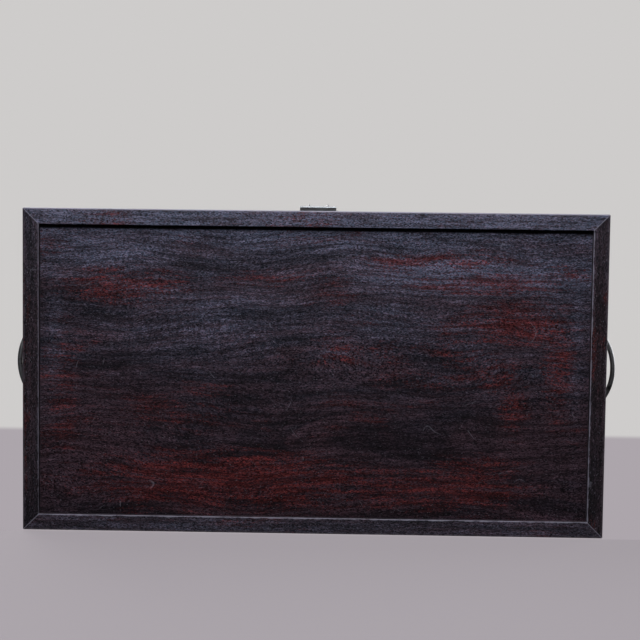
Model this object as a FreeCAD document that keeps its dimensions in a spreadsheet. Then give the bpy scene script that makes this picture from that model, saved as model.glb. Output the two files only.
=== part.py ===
import FreeCAD, Part
import math
import os
import Sketcher

# Lidded hardwood box for an ink stick and an ink stone, in millimetres.
# X runs along the box, Y from front to back and Z up.
# The origin is the middle of the underside, in the plane the box stands on.

os.makedirs("parts", exist_ok=True)
doc = FreeCAD.newDocument("InkBox")

SIZES = {
    # Case
    "box_length": 360.0,
    "box_depth": 200.0,
    "wall": 10.0,
    "body_height": 105.0,
    "lid_height": 44.7,
    "seam_gap": 0.3,
    "corner_round": 1.2,
    "bottom_round": 0.8,
    "top_round": 2.0,
    "inner_round": 0.4,
    "seam_round": 0.3,
    # Boards held in grooves
    "bottom_recess": 4.0,
    "bottom_thickness": 8.0,
    "top_thickness": 9.0,
    "tongue_thickness": 4.0,
    "tongue_length": 4.0,
    "groove_play": 0.2,
    "groove_spare": 0.5,
    "board_gap": 0.3,
    # Hidden dovetails
    "joint_skin": 3.0,
    "joint_margin": 10.0,
    "tail_pitch": 14.0,
    "tail_width": 9.0,
    "tail_flare": 1.1,
    # Lip strips inside the rim
    "lip_thickness": 3.0,
    "lip_below": 5.0,
    "lip_above": 4.0,
    "lip_clearance": 0.4,
    # Lock plate and flap
    "plate_radius": 27.0,
    "plate_thickness": 0.8,
    "flap_hinge_rise": 14.0,
    "flap_pin_radius": 0.9,
    "flap_barrel_wall": 0.9,
    "flap_barrel_off": 0.3,
    "flap_barrel_length": 9.0,
    "plate_barrel_length": 4.5,
    "barrel_gap": 0.3,
    "running_fit": 0.05,
    "flap_thickness": 1.0,
    "flap_gap": 0.5,
    "flap_shoulder": 7.6,
    "flap_lobe": 9.2,
    "flap_lobe_height": 9.0,
    "flap_waist": 7.0,
    "flap_skirt": 12.3,
    "flap_skirt_height": 6.0,
    "slot_clearance": 0.6,
    "slot_margin": 1.0,
    "lip_flare": 2.2,
    "lip_drop": 2.0,
    "lip_bead": 0.7,
    # Staples for the padlock bar
    "staple_drop": 9.0,
    "staple_half_gap": 6.4,
    "staple_wire": 0.8,
    "bar_radius": 1.1,
    "clench_length": 6.0,
    "hole_fit": 0.05,
    # Nails
    "nail_head": 1.6,
    "nail_head_height": 0.9,
    "nail_shank": 0.7,
    "nail_length": 6.0,
    # Back hinges
    "hinge_place": 105.0,
    "leaf_width": 34.0,
    "leaf_reach": 24.0,
    "leaf_thickness": 1.2,
    "leaf_corner": 4.0,
    "hinge_barrel": 2.2,
    "hinge_off": 0.3,
    "hinge_pin": 1.1,
    "hinge_knuckle": 11.0,
    "stop_reach": 1.2,
    "stop_height": 1.2,
    # Bail handles
    "bail_pivot_drop": 19.0,
    "bail_pivot_off": 5.0,
    "eye_half_span": 35.0,
    "eye_thickness": 2.0,
    "eye_wall": 1.3,
    "bail_stub": 1.3,
    "bail_side_gap": 0.4,
    "bail_ball": 1.9,
    "bail_elbow_inset": 2.0,
    "bail_elbow_drop": 19.0,
    "bail_elbow_radius": 1.35,
    "bail_shoulder": 1.65,
    "bail_drop": 28.0,
    "bail_bulge": 15.4,
    "bail_grip_radius": 1.6,
    "bail_rest_gap": 0.35,
    "post_radius": 1.3,
    "post_leg_length": 9.0,
    "post_leg_thickness": 1.0,
    "post_leg_half": 1.1,
    "rosette_radius": 7.5,
    "rosette_thickness": 1.2,
}


class Term:
    # A length that knows its value and the sheet formula it comes from
    def __init__(self, value, text):
        self.value = float(value)
        self.text = text

    def __add__(self, other):
        other = asTerm(other)
        return Term(self.value + other.value, f"({self.text} + {other.text})")

    def __sub__(self, other):
        other = asTerm(other)
        return Term(self.value - other.value, f"({self.text} - {other.text})")

    def __mul__(self, other):
        other = asTerm(other)
        return Term(self.value * other.value, f"({self.text} * {other.text})")

    def __truediv__(self, other):
        other = asTerm(other)
        return Term(self.value / other.value, f"({self.text} / {other.text})")

    def __neg__(self):
        return Term(-self.value, f"(0 - {self.text})")

    __radd__ = __add__
    __rmul__ = __mul__


def asTerm(value):
    return value if isinstance(value, Term) else Term(value, f"({float(value)!r})")


def slant(across, along):
    # The straight distance between two points that far apart
    text = f"sqrt({across.text} * {across.text} + {along.text} * {along.text})"
    return Term(math.hypot(across.value, along.value), text)


class SheetTerms:
    # Every driving size by its name
    pass


size = SheetTerms()
sheet = doc.addObject("Spreadsheet::Sheet", "Sizes")
for row, (name, value) in enumerate(SIZES.items(), start=1):
    sheet.set(f"A{row}", name)
    sheet.set(f"B{row}", str(value))
    sheet.setAlias(f"B{row}", name)
    setattr(size, name, Term(value, f"Sizes.{name}"))
doc.recompute()

LEFT = -1
RIGHT = 1
FRONT = -1
BACK = 1
NEAR = 1e-4

# Shapes that grow with the piece they are on, as shares of it
FLAP_ROUND = 0.555
BELL_ROUND = 0.9
NAIL_DOME = 0.9
ROSETTE_DOME = 0.75
EYE_SOFTNESS = 0.45
POST_IN_EYE = 0.7
ARM_MIDDLE = 0.45
ARM_END = 0.9
GRIP_STATIONS = (0.88, 0.68, 0.42)
GRIP_SWELL = 1.5
GRIP_RINGS = 21

halfLength = size.box_length / 2
halfDepth = size.box_depth / 2
innerHalfLength = halfLength - size.wall
innerHalfDepth = halfDepth - size.wall
lidLow = size.body_height + size.seam_gap
lidHigh = lidLow + size.lid_height
seamMiddle = size.body_height + size.seam_gap / 2
bailPivotZ = size.body_height - size.bail_pivot_drop

made = []


# Sketch and feature helpers


def newBody(label):
    body = doc.addObject("PartDesign::Body", label)
    body.Label = label
    body.AllowCompound = True
    made.append(body)
    return body


def sketchOn(body, role, offset=None):
    # XY: sketch x and y are X and Y. XZ: X and Z, offset towards -Y. YZ: Y and Z, offset towards +X
    plane = [f for f in body.Origin.OriginFeatures if f.Role == role][0]
    sketch = body.newObject("Sketcher::SketchObject", body.Name + "Sketch")
    sketch.AttachmentSupport = [(plane, "")]
    sketch.MapMode = "FlatFace"
    if offset is not None:
        sketch.setExpression("AttachmentOffset.Base.z", asTerm(offset).text)
    return sketch


def bind(sketch, constraint, term):
    index = sketch.addConstraint(constraint)
    sketch.setExpression(f"Constraints[{index}]", term.text)


def arcBetween(start, end, radius):
    # The short arc from start to end; a positive radius bulges to the left of the way
    chord = end - start
    across = FreeCAD.Vector(-chord.y, chord.x, 0).normalize()
    half = chord.Length / 2
    rise = abs(radius) - math.sqrt(radius * radius - half * half)
    middle = (start + end) / 2 + across * math.copysign(rise, radius)
    return Part.Arc(start, middle, end)


def outline(sketch, corners):
    # A closed outline of (x, y) corners; (x, y, radius) makes the side that starts there an arc
    corners = [tuple(asTerm(c) for c in corner) for corner in corners]
    spots = [FreeCAD.Vector(c[0].value, c[1].value, 0) for c in corners]
    first = sketch.GeometryCount
    count = len(corners)
    turned = []
    for i, corner in enumerate(corners):
        start = spots[i]
        end = spots[(i + 1) % count]
        if len(corner) == 2:
            sketch.addGeometry(Part.LineSegment(start, end), False)
            turned.append(False)
        else:
            index = sketch.addGeometry(arcBetween(start, end, corner[2].value), False)
            # Sketch arcs run anticlockwise, so a clockwise side starts at its second end
            turned.append(sketch.getPoint(index, 1).distanceToPoint(start) > NEAR)
    for i, corner in enumerate(corners):
        nxt = (i + 1) % count
        endHere = 1 if turned[i] else 2
        startNext = 2 if turned[nxt] else 1
        sketch.addConstraint(
            Sketcher.Constraint("Coincident", first + i, endHere, first + nxt, startNext)
        )
        startHere = 2 if turned[i] else 1
        x, y = corner[0], corner[1]
        bind(sketch, Sketcher.Constraint("DistanceX", -1, 1, first + i, startHere, x.value), x)
        bind(sketch, Sketcher.Constraint("DistanceY", -1, 1, first + i, startHere, y.value), y)
        if len(corner) == 3:
            radius = corner[2] if corner[2].value > 0 else -corner[2]
            bind(sketch, Sketcher.Constraint("Radius", first + i, radius.value), radius)


def circle(sketch, x, y, radius):
    x, y, radius = asTerm(x), asTerm(y), asTerm(radius)
    centre = FreeCAD.Vector(x.value, y.value, 0)
    up = FreeCAD.Vector(0, 0, 1)
    index = sketch.addGeometry(Part.Circle(centre, up, radius.value), False)
    bind(sketch, Sketcher.Constraint("DistanceX", -1, 1, index, 3, x.value), x)
    bind(sketch, Sketcher.Constraint("DistanceY", -1, 1, index, 3, y.value), y)
    bind(sketch, Sketcher.Constraint("Radius", index, radius.value), radius)


def rectangle(sketch, x0, x1, y0, y1):
    outline(sketch, [(x0, y0), (x1, y0), (x1, y1), (x0, y1)])


def pad(body, sketch, length, symmetric=False, back=False):
    feature = body.newObject("PartDesign::Pad", body.Name + "Pad")
    feature.Profile = sketch
    feature.setExpression("Length", asTerm(length).text)
    feature.SideType = "Symmetric" if symmetric else "One side"
    feature.Reversed = back
    sketch.Visibility = False
    doc.recompute()
    return feature


def pocket(body, sketch, length=None, symmetric=False, back=False):
    # A cut that goes right through in both directions when no length is given
    before = body.Shape.Volume
    feature = body.newObject("PartDesign::Pocket", body.Name + "Pocket")
    feature.Profile = sketch
    if length is None:
        feature.Type = "ThroughAll"
        feature.SideType = "Symmetric"
    else:
        feature.setExpression("Length", asTerm(length).text)
        feature.SideType = "Symmetric" if symmetric else "One side"
        feature.Reversed = back
    sketch.Visibility = False
    doc.recompute()
    if not body.Shape.Volume < before - NEAR:
        raise RuntimeError(f"a cut in {body.Label} removes nothing")
    return feature


def roundEdges(body, feature, radius, wanted):
    # Rounds the edges of the last feature that wanted(edge) picks
    names = [f"Edge{i}" for i, edge in enumerate(feature.Shape.Edges, start=1) if wanted(edge)]
    if not names:
        raise RuntimeError(f"no edge to round on {body.Label}")
    fillet = body.newObject("PartDesign::Fillet", body.Name + "Fillet")
    fillet.Base = (feature, names)
    fillet.setExpression("Radius", asTerm(radius).text)
    doc.recompute()
    return fillet


def near(a, b):
    return abs(a - b) < NEAR


# Case walls


def tailsIn(low, high):
    # Heights of the tails between two mitred margins, evenly spaced
    room = high - low - size.joint_margin * 2
    count = max(1, round(room.value / size.tail_pitch.value))
    return [low + size.joint_margin + room * (i + 0.5) / count for i in range(count)]


def tailOutlines(sketch, side, low, high):
    # Tails widen from the wall's inner face towards the front or back
    root = innerHalfDepth * side
    end = (halfDepth - size.joint_skin) * side
    for middle in tailsIn(low, high):
        wide = size.tail_width / 2
        slim = wide - size.tail_flare
        outline(sketch, [(root, middle - slim), (end, middle - wide),
                         (end, middle + wide), (root, middle + slim)])


def cornerSquare(sketch, sideX, sideY):
    # The part of a corner that the hidden tails and pins share
    rectangle(sketch, innerHalfLength * sideX, (halfLength - size.joint_skin) * sideX,
              innerHalfDepth * sideY, (halfDepth - size.joint_skin) * sideY)


def roundedCorner(sketch, sideX, sideY):
    # The sliver outside the rounded upright edge
    x = halfLength * sideX
    y = halfDepth * sideY
    turn = size.corner_round * (sideX * sideY)
    outline(sketch, [(x, y), (x - size.corner_round * sideX, y, turn),
                     (x, y - size.corner_round * sideY)])


def wallProfile(sketch, side, outer, low, high, grooveLow):
    # Section of a wall, with the groove that holds a board
    inner = outer - size.wall
    deep = inner + size.tongue_length + size.groove_spare
    grooveHigh = grooveLow + size.tongue_thickness + size.groove_play
    outline(sketch, [(outer * side, low), (outer * side, high), (inner * side, high),
                     (inner * side, grooveHigh), (deep * side, grooveHigh),
                     (deep * side, grooveLow), (inner * side, grooveLow), (inner * side, low)])


def softened(body, feature, letter, outer, edges):
    # Rounds long edges given as (inset from the outer face, height, radius)
    for inset, height, radius in edges:
        spot = outer - inset * math.copysign(1, outer.value)
        feature = roundEdges(body, feature, radius, lambda e: liesAlong(e, letter, spot, height))
    return feature


def longWall(label, side, low, high, grooveLow, softEdges):
    # Front or back wall: mitred at both ends, with hidden pins
    body = newBody(label)
    sketch = sketchOn(body, "YZ_Plane")
    wallProfile(sketch, side, halfDepth, low, high, grooveLow)
    stock = pad(body, sketch, size.box_length, symmetric=True)
    softened(body, stock, "y", halfDepth * side, softEdges)
    sketch = sketchOn(body, "XY_Plane")
    for end in (LEFT, RIGHT):
        outline(sketch, [(halfLength * end, halfDepth * side),
                         (halfLength * end, innerHalfDepth * side),
                         (innerHalfLength * end, innerHalfDepth * side)])
    pocket(body, sketch)
    sketch = sketchOn(body, "XY_Plane")
    for end in (LEFT, RIGHT):
        roundedCorner(sketch, end, side)
    pocket(body, sketch)
    sketch = sketchOn(body, "XY_Plane", low + size.joint_margin)
    for end in (LEFT, RIGHT):
        cornerSquare(sketch, end, side)
    pad(body, sketch, high - low - size.joint_margin * 2)
    for end in (LEFT, RIGHT):
        sketch = sketchOn(body, "YZ_Plane", innerHalfLength * end)
        tailOutlines(sketch, side, low, high)
        pocket(body, sketch, size.wall - size.joint_skin, back=end == RIGHT)
    return body


def shortWall(label, side, low, high, grooveLow, softEdges):
    # Left or right wall: mitred at both ends, with hidden tails
    body = newBody(label)
    sketch = sketchOn(body, "XZ_Plane")
    wallProfile(sketch, side, halfLength, low, high, grooveLow)
    stock = pad(body, sketch, size.box_depth, symmetric=True)
    softened(body, stock, "x", halfLength * side, softEdges)
    sketch = sketchOn(body, "XY_Plane")
    for end in (FRONT, BACK):
        outline(sketch, [(halfLength * side, halfDepth * end),
                         (innerHalfLength * side, halfDepth * end),
                         (innerHalfLength * side, innerHalfDepth * end)])
    pocket(body, sketch)
    sketch = sketchOn(body, "XY_Plane")
    for end in (FRONT, BACK):
        roundedCorner(sketch, side, end)
    pocket(body, sketch)
    sketch = sketchOn(body, "XY_Plane", low + size.joint_margin)
    for end in (FRONT, BACK):
        cornerSquare(sketch, side, end)
    pocket(body, sketch, high - low - size.joint_margin * 2, back=True)
    for end in (FRONT, BACK):
        sketch = sketchOn(body, "YZ_Plane", innerHalfLength * side)
        tailOutlines(sketch, end, low, high)
        pad(body, sketch, size.wall - size.joint_skin, back=side == LEFT)
    return body


def liesAlong(edge, letter, across, height):
    # An edge that runs the wall's length in one upright plane at one height
    ends = [v.Point for v in edge.Vertexes]
    return all(near(getattr(p, letter), across.value) and near(p.z, height.value) for p in ends)


def drillFace(body, side, spots, radius, depth):
    # Round holes into the front or back face, at (x, z) spots
    sketch = sketchOn(body, "XZ_Plane", -(halfDepth * side))
    for x, z in spots:
        circle(sketch, x, z, radius)
    return pocket(body, sketch, depth, back=side == BACK)


def drillEnd(body, side, spots, radius):
    # Round holes right through an end wall, at (y, z) spots
    sketch = sketchOn(body, "YZ_Plane", innerHalfLength * side)
    for y, z in spots:
        circle(sketch, y, z, radius)
    return pocket(body, sketch, size.wall, back=side == RIGHT)


# Where the metalwork is fixed

stapleZ = size.body_height - size.staple_drop
stapleArch = size.bar_radius + size.staple_wire
stapleLegs = [(size.staple_half_gap * s, stapleZ + stapleArch * t)
              for s in (LEFT, RIGHT) for t in (-1, 1)]

# Lock nails are (across, distance from the seam)
LOWER_LOCK_NAILS = [(-20.5, 6.5), (20.5, 6.5), (-13.0, 20.0), (13.0, 20.0)]
UPPER_LOCK_NAILS = [(-22.0, 6.5), (22.0, 6.5), (-15.5, 18.0), (15.5, 18.0)]
lowerLockNails = [(asTerm(x), size.body_height - d) for x, d in LOWER_LOCK_NAILS]
upperLockNails = [(asTerm(x), lidLow + d) for x, d in UPPER_LOCK_NAILS]

# Leaf nails are (across the leaf, distance from the seam)
LEAF_NAILS = [(-11.5, 9.5), (11.5, 9.5), (0.0, 18.0)]
bodyLeafNails = [(size.hinge_place * s + x, size.body_height - d)
                 for s in (LEFT, RIGHT) for x, d in LEAF_NAILS]
lidLeafNails = [(size.hinge_place * s + x, lidLow + d)
                for s in (LEFT, RIGHT) for x, d in LEAF_NAILS]

bailPosts = [(size.eye_half_span * s, bailPivotZ) for s in (FRONT, BACK)]
nailHole = size.nail_shank + size.hole_fit
bottomGroove = size.bottom_recess
topGroove = lidHigh - size.top_thickness - size.groove_play

# Softened long edges are (inset from the outer face, height, radius)
floor = asTerm(0)
flush = asTerm(0)
bodyEdges = [(flush, floor, size.bottom_round), (size.wall, floor, size.inner_round),
             (flush, size.body_height, size.seam_round)]
lidEdges = [(flush, lidHigh, size.top_round), (size.wall, lidLow, size.inner_round),
            (flush, lidLow, size.seam_round)]

wall = longWall("front_wall", FRONT, floor, size.body_height, bottomGroove, bodyEdges)
drillFace(wall, FRONT, stapleLegs, size.staple_wire + size.hole_fit, size.wall)
drillFace(wall, FRONT, lowerLockNails, nailHole, size.nail_length)
wall = longWall("back_wall", BACK, floor, size.body_height, bottomGroove, bodyEdges)
drillFace(wall, BACK, bodyLeafNails, nailHole, size.nail_length)
for name, side in (("left_wall", LEFT), ("right_wall", RIGHT)):
    wall = shortWall(name, side, floor, size.body_height, bottomGroove, bodyEdges)
    drillEnd(wall, side, bailPosts, size.post_radius + size.hole_fit)
wall = longWall("lid_front_wall", FRONT, lidLow, lidHigh, topGroove, lidEdges)
drillFace(wall, FRONT, upperLockNails, nailHole, size.nail_length)
wall = longWall("lid_back_wall", BACK, lidLow, lidHigh, topGroove, lidEdges)
drillFace(wall, BACK, lidLeafNails, nailHole, size.nail_length)
for name, side in (("lid_left_wall", LEFT), ("lid_right_wall", RIGHT)):
    shortWall(name, side, lidLow, lidHigh, topGroove, lidEdges)


# Boards


def board(label, low, thickness, tongueLow):
    # A solid board with a tongue all round that sits in the wall grooves
    body = newBody(label)
    sketch = sketchOn(body, "XY_Plane", low)
    reachX = innerHalfLength - size.board_gap
    reachY = innerHalfDepth - size.board_gap
    rectangle(sketch, -reachX, reachX, -reachY, reachY)
    pad(body, sketch, thickness)
    sketch = sketchOn(body, "XY_Plane", tongueLow)
    reachX = innerHalfLength + size.tongue_length
    reachY = innerHalfDepth + size.tongue_length
    rectangle(sketch, -reachX, reachX, -reachY, reachY)
    pad(body, sketch, size.tongue_thickness)
    return body


board("bottom_board", size.bottom_recess, size.bottom_thickness, bottomGroove)
board("lid_top_board", lidHigh - size.top_thickness, size.top_thickness,
      lidHigh - size.top_thickness)


# Lip strips that guide the lid


def lipProfile(sketch, side, inner):
    # Glued to the wall below the rim, clear of the lid above it
    face = inner - size.lip_thickness
    top = size.body_height + size.lip_above
    slim = inner - size.lip_clearance
    outline(sketch, [(inner * side, size.body_height - size.lip_below),
                     (inner * side, size.body_height), (slim * side, size.body_height),
                     (slim * side, top - size.lip_clearance),
                     ((slim - size.lip_clearance) * side, top), (face * side, top),
                     (face * side, size.body_height - size.lip_below)])


body = newBody("lip_front")
sketch = sketchOn(body, "YZ_Plane")
lipProfile(sketch, FRONT, innerHalfDepth)
pad(body, sketch, (innerHalfLength - size.lip_clearance) * 2, symmetric=True)
for name, side in (("lip_left", LEFT), ("lip_right", RIGHT)):
    body = newBody(name)
    sketch = sketchOn(body, "XZ_Plane", innerHalfDepth - size.lip_thickness)
    lipProfile(sketch, side, innerHalfLength)
    pad(body, sketch, innerHalfDepth * 2 - size.lip_thickness - size.lip_clearance, back=True)


# Lock: two half plates, staples, flap, pin and nails

plateFace = halfDepth + size.plate_thickness
flapAxisZ = lidLow + size.flap_hinge_rise
flapBarrel = size.flap_pin_radius + size.flap_barrel_wall
flapAxisOff = flapBarrel + size.flap_barrel_off
flapAxisY = halfDepth + flapAxisOff
plateBarrelStart = size.flap_barrel_length / 2 + size.barrel_gap
plateBarrelEnd = plateBarrelStart + size.plate_barrel_length


def halfPlate(label, edge, up):
    # Half of a round plate whose straight side runs along the seam
    body = newBody(label)
    sketch = sketchOn(body, "XZ_Plane", halfDepth)
    radius = size.plate_radius
    tip = edge + radius * up
    outline(sketch, [(radius, edge, radius * -up), (asTerm(0), tip, radius * -up),
                     (-radius, edge)])
    disc = pad(body, sketch, size.plate_thickness)
    rim = plateFace.value
    roundEdges(body, disc, size.plate_thickness / 2,
               lambda e: e.Curve.TypeId == "Part::GeomCircle" and near(e.CenterOfMass.y, -rim))
    return body


plate = halfPlate("lock_plate_lower", size.body_height, -1)
sketch = sketchOn(plate, "XZ_Plane", halfDepth)
for x, z in stapleLegs:
    circle(sketch, x, z, size.staple_wire + size.hole_fit)
for x, z in lowerLockNails:
    circle(sketch, x, z, nailHole)
pocket(plate, sketch)

plate = halfPlate("lock_plate_upper", lidLow, 1)
sketch = sketchOn(plate, "XZ_Plane", halfDepth)
window = size.flap_barrel_length / 2 + size.barrel_gap
rectangle(sketch, -window, window, flapAxisZ - flapBarrel - size.barrel_gap,
          flapAxisZ + flapBarrel + size.barrel_gap)
for x, z in upperLockNails:
    circle(sketch, x, z, nailHole)
pocket(plate, sketch)
for side in (LEFT, RIGHT):
    sketch = sketchOn(plate, "YZ_Plane", plateBarrelStart * side)
    circle(sketch, -flapAxisY, flapAxisZ, flapBarrel)
    circle(sketch, -flapAxisY, flapAxisZ, size.flap_pin_radius)
    pad(plate, sketch, size.plate_barrel_length, back=side == LEFT)
    # The foot that carries the barrel on the plate
    sketch = sketchOn(plate, "YZ_Plane", plateBarrelStart * side)
    foot = flapBarrel - size.flap_pin_radius / 2
    rectangle(sketch, -(halfDepth + size.plate_thickness / 2),
              -(halfDepth + flapAxisOff - size.flap_pin_radius - size.running_fit),
              flapAxisZ - foot, flapAxisZ + foot)
    pad(plate, sketch, size.plate_barrel_length, back=side == LEFT)

body = newBody("hasp_flap")
leafBack = plateFace + size.flap_gap
leafTop = flapAxisZ - size.flap_pin_radius - size.barrel_gap
shoulderZ = flapAxisZ - flapBarrel - size.barrel_gap * 2
lobeZ = flapAxisZ - size.flap_lobe_height
waistZ = lobeZ - (size.flap_lobe - size.flap_waist)
slotHalf = size.staple_wire + size.slot_clearance
slotReach = stapleArch + slotHalf
flatEnd = stapleZ - slotReach - size.slot_margin
skirtZ = flatEnd + size.flap_skirt_height
neck = size.flap_barrel_length / 2
lobe = size.flap_lobe
waist = size.flap_waist
skirt = size.flap_skirt
sketch = sketchOn(body, "XZ_Plane", leafBack)
lobeRound = slant(lobe - size.flap_shoulder, shoulderZ - lobeZ) * FLAP_ROUND
heelRound = slant(lobe - waist, lobeZ - waistZ) * FLAP_ROUND
bellRound = slant(skirt - waist, waistZ - skirtZ) * BELL_ROUND
outline(sketch, [(neck, leafTop), (-neck, leafTop), (-neck, shoulderZ),
                 (-size.flap_shoulder, shoulderZ, -lobeRound), (-lobe, lobeZ, -heelRound),
                 (-waist, waistZ, bellRound), (-skirt, skirtZ), (-skirt, flatEnd),
                 (skirt, flatEnd), (skirt, skirtZ, bellRound), (waist, waistZ, -heelRound),
                 (lobe, lobeZ, -lobeRound), (size.flap_shoulder, shoulderZ), (neck, shoulderZ)])
pad(body, sketch, size.flap_thickness)
# Slots that the staples stand through
sketch = sketchOn(body, "XZ_Plane", leafBack)
for side in (LEFT, RIGHT):
    x = size.staple_half_gap * side
    rectangle(sketch, x - slotHalf, x + slotHalf, stapleZ - slotReach, stapleZ + slotReach)
pocket(body, sketch, size.flap_thickness, back=True)
sketch = sketchOn(body, "YZ_Plane")
circle(sketch, -flapAxisY, flapAxisZ, flapBarrel)
pad(body, sketch, size.flap_barrel_length, symmetric=True)
sketch = sketchOn(body, "YZ_Plane")
circle(sketch, -flapAxisY, flapAxisZ, size.flap_pin_radius + size.running_fit)
pocket(body, sketch, size.flap_barrel_length, symmetric=True)
# The lip along the lower edge that flares out for a fingertip, with a beaded rim
leafFront = leafBack + size.flap_thickness
lipZ = flatEnd - size.lip_drop
sketch = sketchOn(body, "YZ_Plane")
outline(sketch, [(-leafBack, flatEnd), (-leafBack, flatEnd + size.slot_margin / 2),
                 (-leafFront, flatEnd + size.slot_margin / 2), (-leafFront, flatEnd),
                 (-(leafFront + size.lip_flare), lipZ), (-(leafBack + size.lip_flare), lipZ)])
pad(body, sketch, skirt * 2, symmetric=True)
sketch = sketchOn(body, "YZ_Plane")
circle(sketch, -(leafBack + size.flap_thickness / 2 + size.lip_flare), lipZ, size.lip_bead)
pad(body, sketch, skirt * 2, symmetric=True)

body = newBody("flap_pin")
sketch = sketchOn(body, "YZ_Plane")
circle(sketch, -flapAxisY, flapAxisZ, size.flap_pin_radius)
pad(body, sketch, (plateBarrelEnd + size.barrel_gap) * 2, symmetric=True)


def primitive(kind, name, place, turn=FreeCAD.Rotation(), **values):
    # A bound primitive at (x, y, z), turned in its place
    item = doc.addObject(kind, name)
    for key, term in values.items():
        item.setExpression(key, asTerm(term).text)
    item.Placement = FreeCAD.Placement(FreeCAD.Vector(), turn)
    for letter, term in zip("xyz", place):
        item.setExpression(f"Placement.Base.{letter}", asTerm(term).text)
    return item


def fused(name, items):
    joined = doc.addObject("Part::MultiFuse", name)
    joined.Shapes = items
    return joined


def staple(name, side):
    # Wire bent over, driven through plate and wall and clenched inside
    x = size.staple_half_gap * side
    wire = size.staple_wire
    archY = -(plateFace + size.flap_gap + size.flap_thickness + size.bar_radius)
    insideY = -(innerHalfDepth - wire)
    towardsY = FreeCAD.Rotation(FreeCAD.Vector(1, 0, 0), -90)
    alongX = FreeCAD.Rotation(FreeCAD.Vector(0, 1, 0), 90 * side)
    # The outer half ring stands in the upright plane across the box, ends up and down
    upright = FreeCAD.Rotation(FreeCAD.Vector(0, 0, 1), FreeCAD.Vector(0, -1, 0),
                               FreeCAD.Vector(1, 0, 0), "ZXY")
    arch = primitive("Part::Torus", name + "Arch", (x, archY, stapleZ), upright,
                     Radius1=stapleArch, Radius2=wire)
    arch.Angle3 = 180
    parts = [arch]
    for end in (-1, 1):
        z = stapleZ + stapleArch * end
        parts.append(primitive("Part::Cylinder", name + "Leg", (x, archY, z), towardsY,
                               Radius=wire, Height=insideY - archY))
        parts.append(primitive("Part::Sphere", name + "Bend", (x, insideY, z), Radius=wire))
        parts.append(primitive("Part::Cylinder", name + "Clench", (x, insideY, z), alongX,
                               Radius=wire, Height=size.clench_length))
    return fused(name, parts)


pair = doc.addObject("Part::Compound", "lock_staples")
pair.Links = [staple("stapleLeft", LEFT), staple("stapleRight", RIGHT)]
pair.Label = "lock_staples"
made.append(pair)


def nails(label, side, face, spots):
    # Domed nails whose heads lie on a plate and whose shanks go into the wood
    body = newBody(label)
    sketch = sketchOn(body, "XZ_Plane", -(face * side))
    for x, z in spots:
        circle(sketch, x, z, size.nail_head)
    heads = pad(body, sketch, size.nail_head_height, back=side == BACK)
    top = (face + size.nail_head_height) * side
    roundEdges(body, heads, size.nail_head_height * NAIL_DOME,
               lambda e: near(e.BoundBox.YMin, top.value) and near(e.BoundBox.YMax, top.value))
    sketch = sketchOn(body, "XZ_Plane", -(halfDepth * side) + size.nail_length * side)
    for x, z in spots:
        circle(sketch, x, z, size.nail_shank)
    pad(body, sketch, size.nail_length + face - halfDepth, back=side == BACK)


nails("lock_nails_lower", FRONT, plateFace, lowerLockNails)
nails("lock_nails_upper", FRONT, plateFace, upperLockNails)


# Back hinges with rolled leaves

leafFace = halfDepth + size.leaf_thickness
hingeAxisY = halfDepth + size.hinge_barrel + size.hinge_off
knuckleHalf = size.hinge_knuckle / 2
knuckleRoom = size.hinge_barrel + size.hinge_off


def hingeLeaf(label, side, up, spots):
    # A leaf on the back of the body (up = -1) or of the lid (up = 1)
    body = newBody(label)
    x = size.hinge_place * side
    edge = seamMiddle + size.seam_gap * up
    tip = seamMiddle + size.leaf_reach * up
    half = size.leaf_width / 2
    soft = size.leaf_corner
    bow = soft * (-up)
    sketch = sketchOn(body, "XZ_Plane", -halfDepth)
    outline(sketch, [(x - half, edge), (x + half, edge), (x + half, tip - soft * up, bow),
                     (x + half - soft, tip), (x - half + soft, tip, bow),
                     (x - half, tip - soft * up)])
    pad(body, sketch, size.leaf_thickness, back=True)
    # Room for the other leaf's knuckles
    sketch = sketchOn(body, "XZ_Plane", -halfDepth)
    clear = seamMiddle + knuckleRoom * up
    if up < 0:
        room = knuckleHalf + size.barrel_gap
        rectangle(sketch, x - room, x + room, edge, clear)
    else:
        for end in (LEFT, RIGHT):
            rectangle(sketch, x + knuckleHalf * end, x + half * end, edge, clear)
    pocket(body, sketch)
    # Knuckles round the pin
    if up < 0:
        starts = [(x + (knuckleHalf + size.barrel_gap) * end, end) for end in (LEFT, RIGHT)]
        length = half - knuckleHalf - size.barrel_gap
    else:
        starts = [(x - knuckleHalf, RIGHT)]
        length = size.hinge_knuckle
    for start, end in starts:
        sketch = sketchOn(body, "YZ_Plane", start)
        circle(sketch, hingeAxisY, seamMiddle, size.hinge_barrel)
        pad(body, sketch, length, back=end == LEFT)
    if up > 0:
        # Lug that meets the body's leaf when the lid is fully open
        sketch = sketchOn(body, "YZ_Plane", x - knuckleHalf)
        low = seamMiddle - size.running_fit * 2
        rectangle(sketch, hingeAxisY + size.hinge_pin + size.hinge_off,
                  hingeAxisY + size.hinge_barrel + size.stop_reach,
                  low, low + size.stop_height)
        pad(body, sketch, size.hinge_knuckle)
    bore = size.hinge_pin + size.running_fit if up > 0 else size.hinge_pin
    sketch = sketchOn(body, "YZ_Plane", x - half)
    circle(sketch, hingeAxisY, seamMiddle, bore)
    pocket(body, sketch, size.leaf_width, back=True)
    sketch = sketchOn(body, "XZ_Plane", -halfDepth)
    for place, z in spots:
        if (place.value > 0) == (side > 0):
            circle(sketch, place, z, nailHole)
    pocket(body, sketch)


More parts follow.
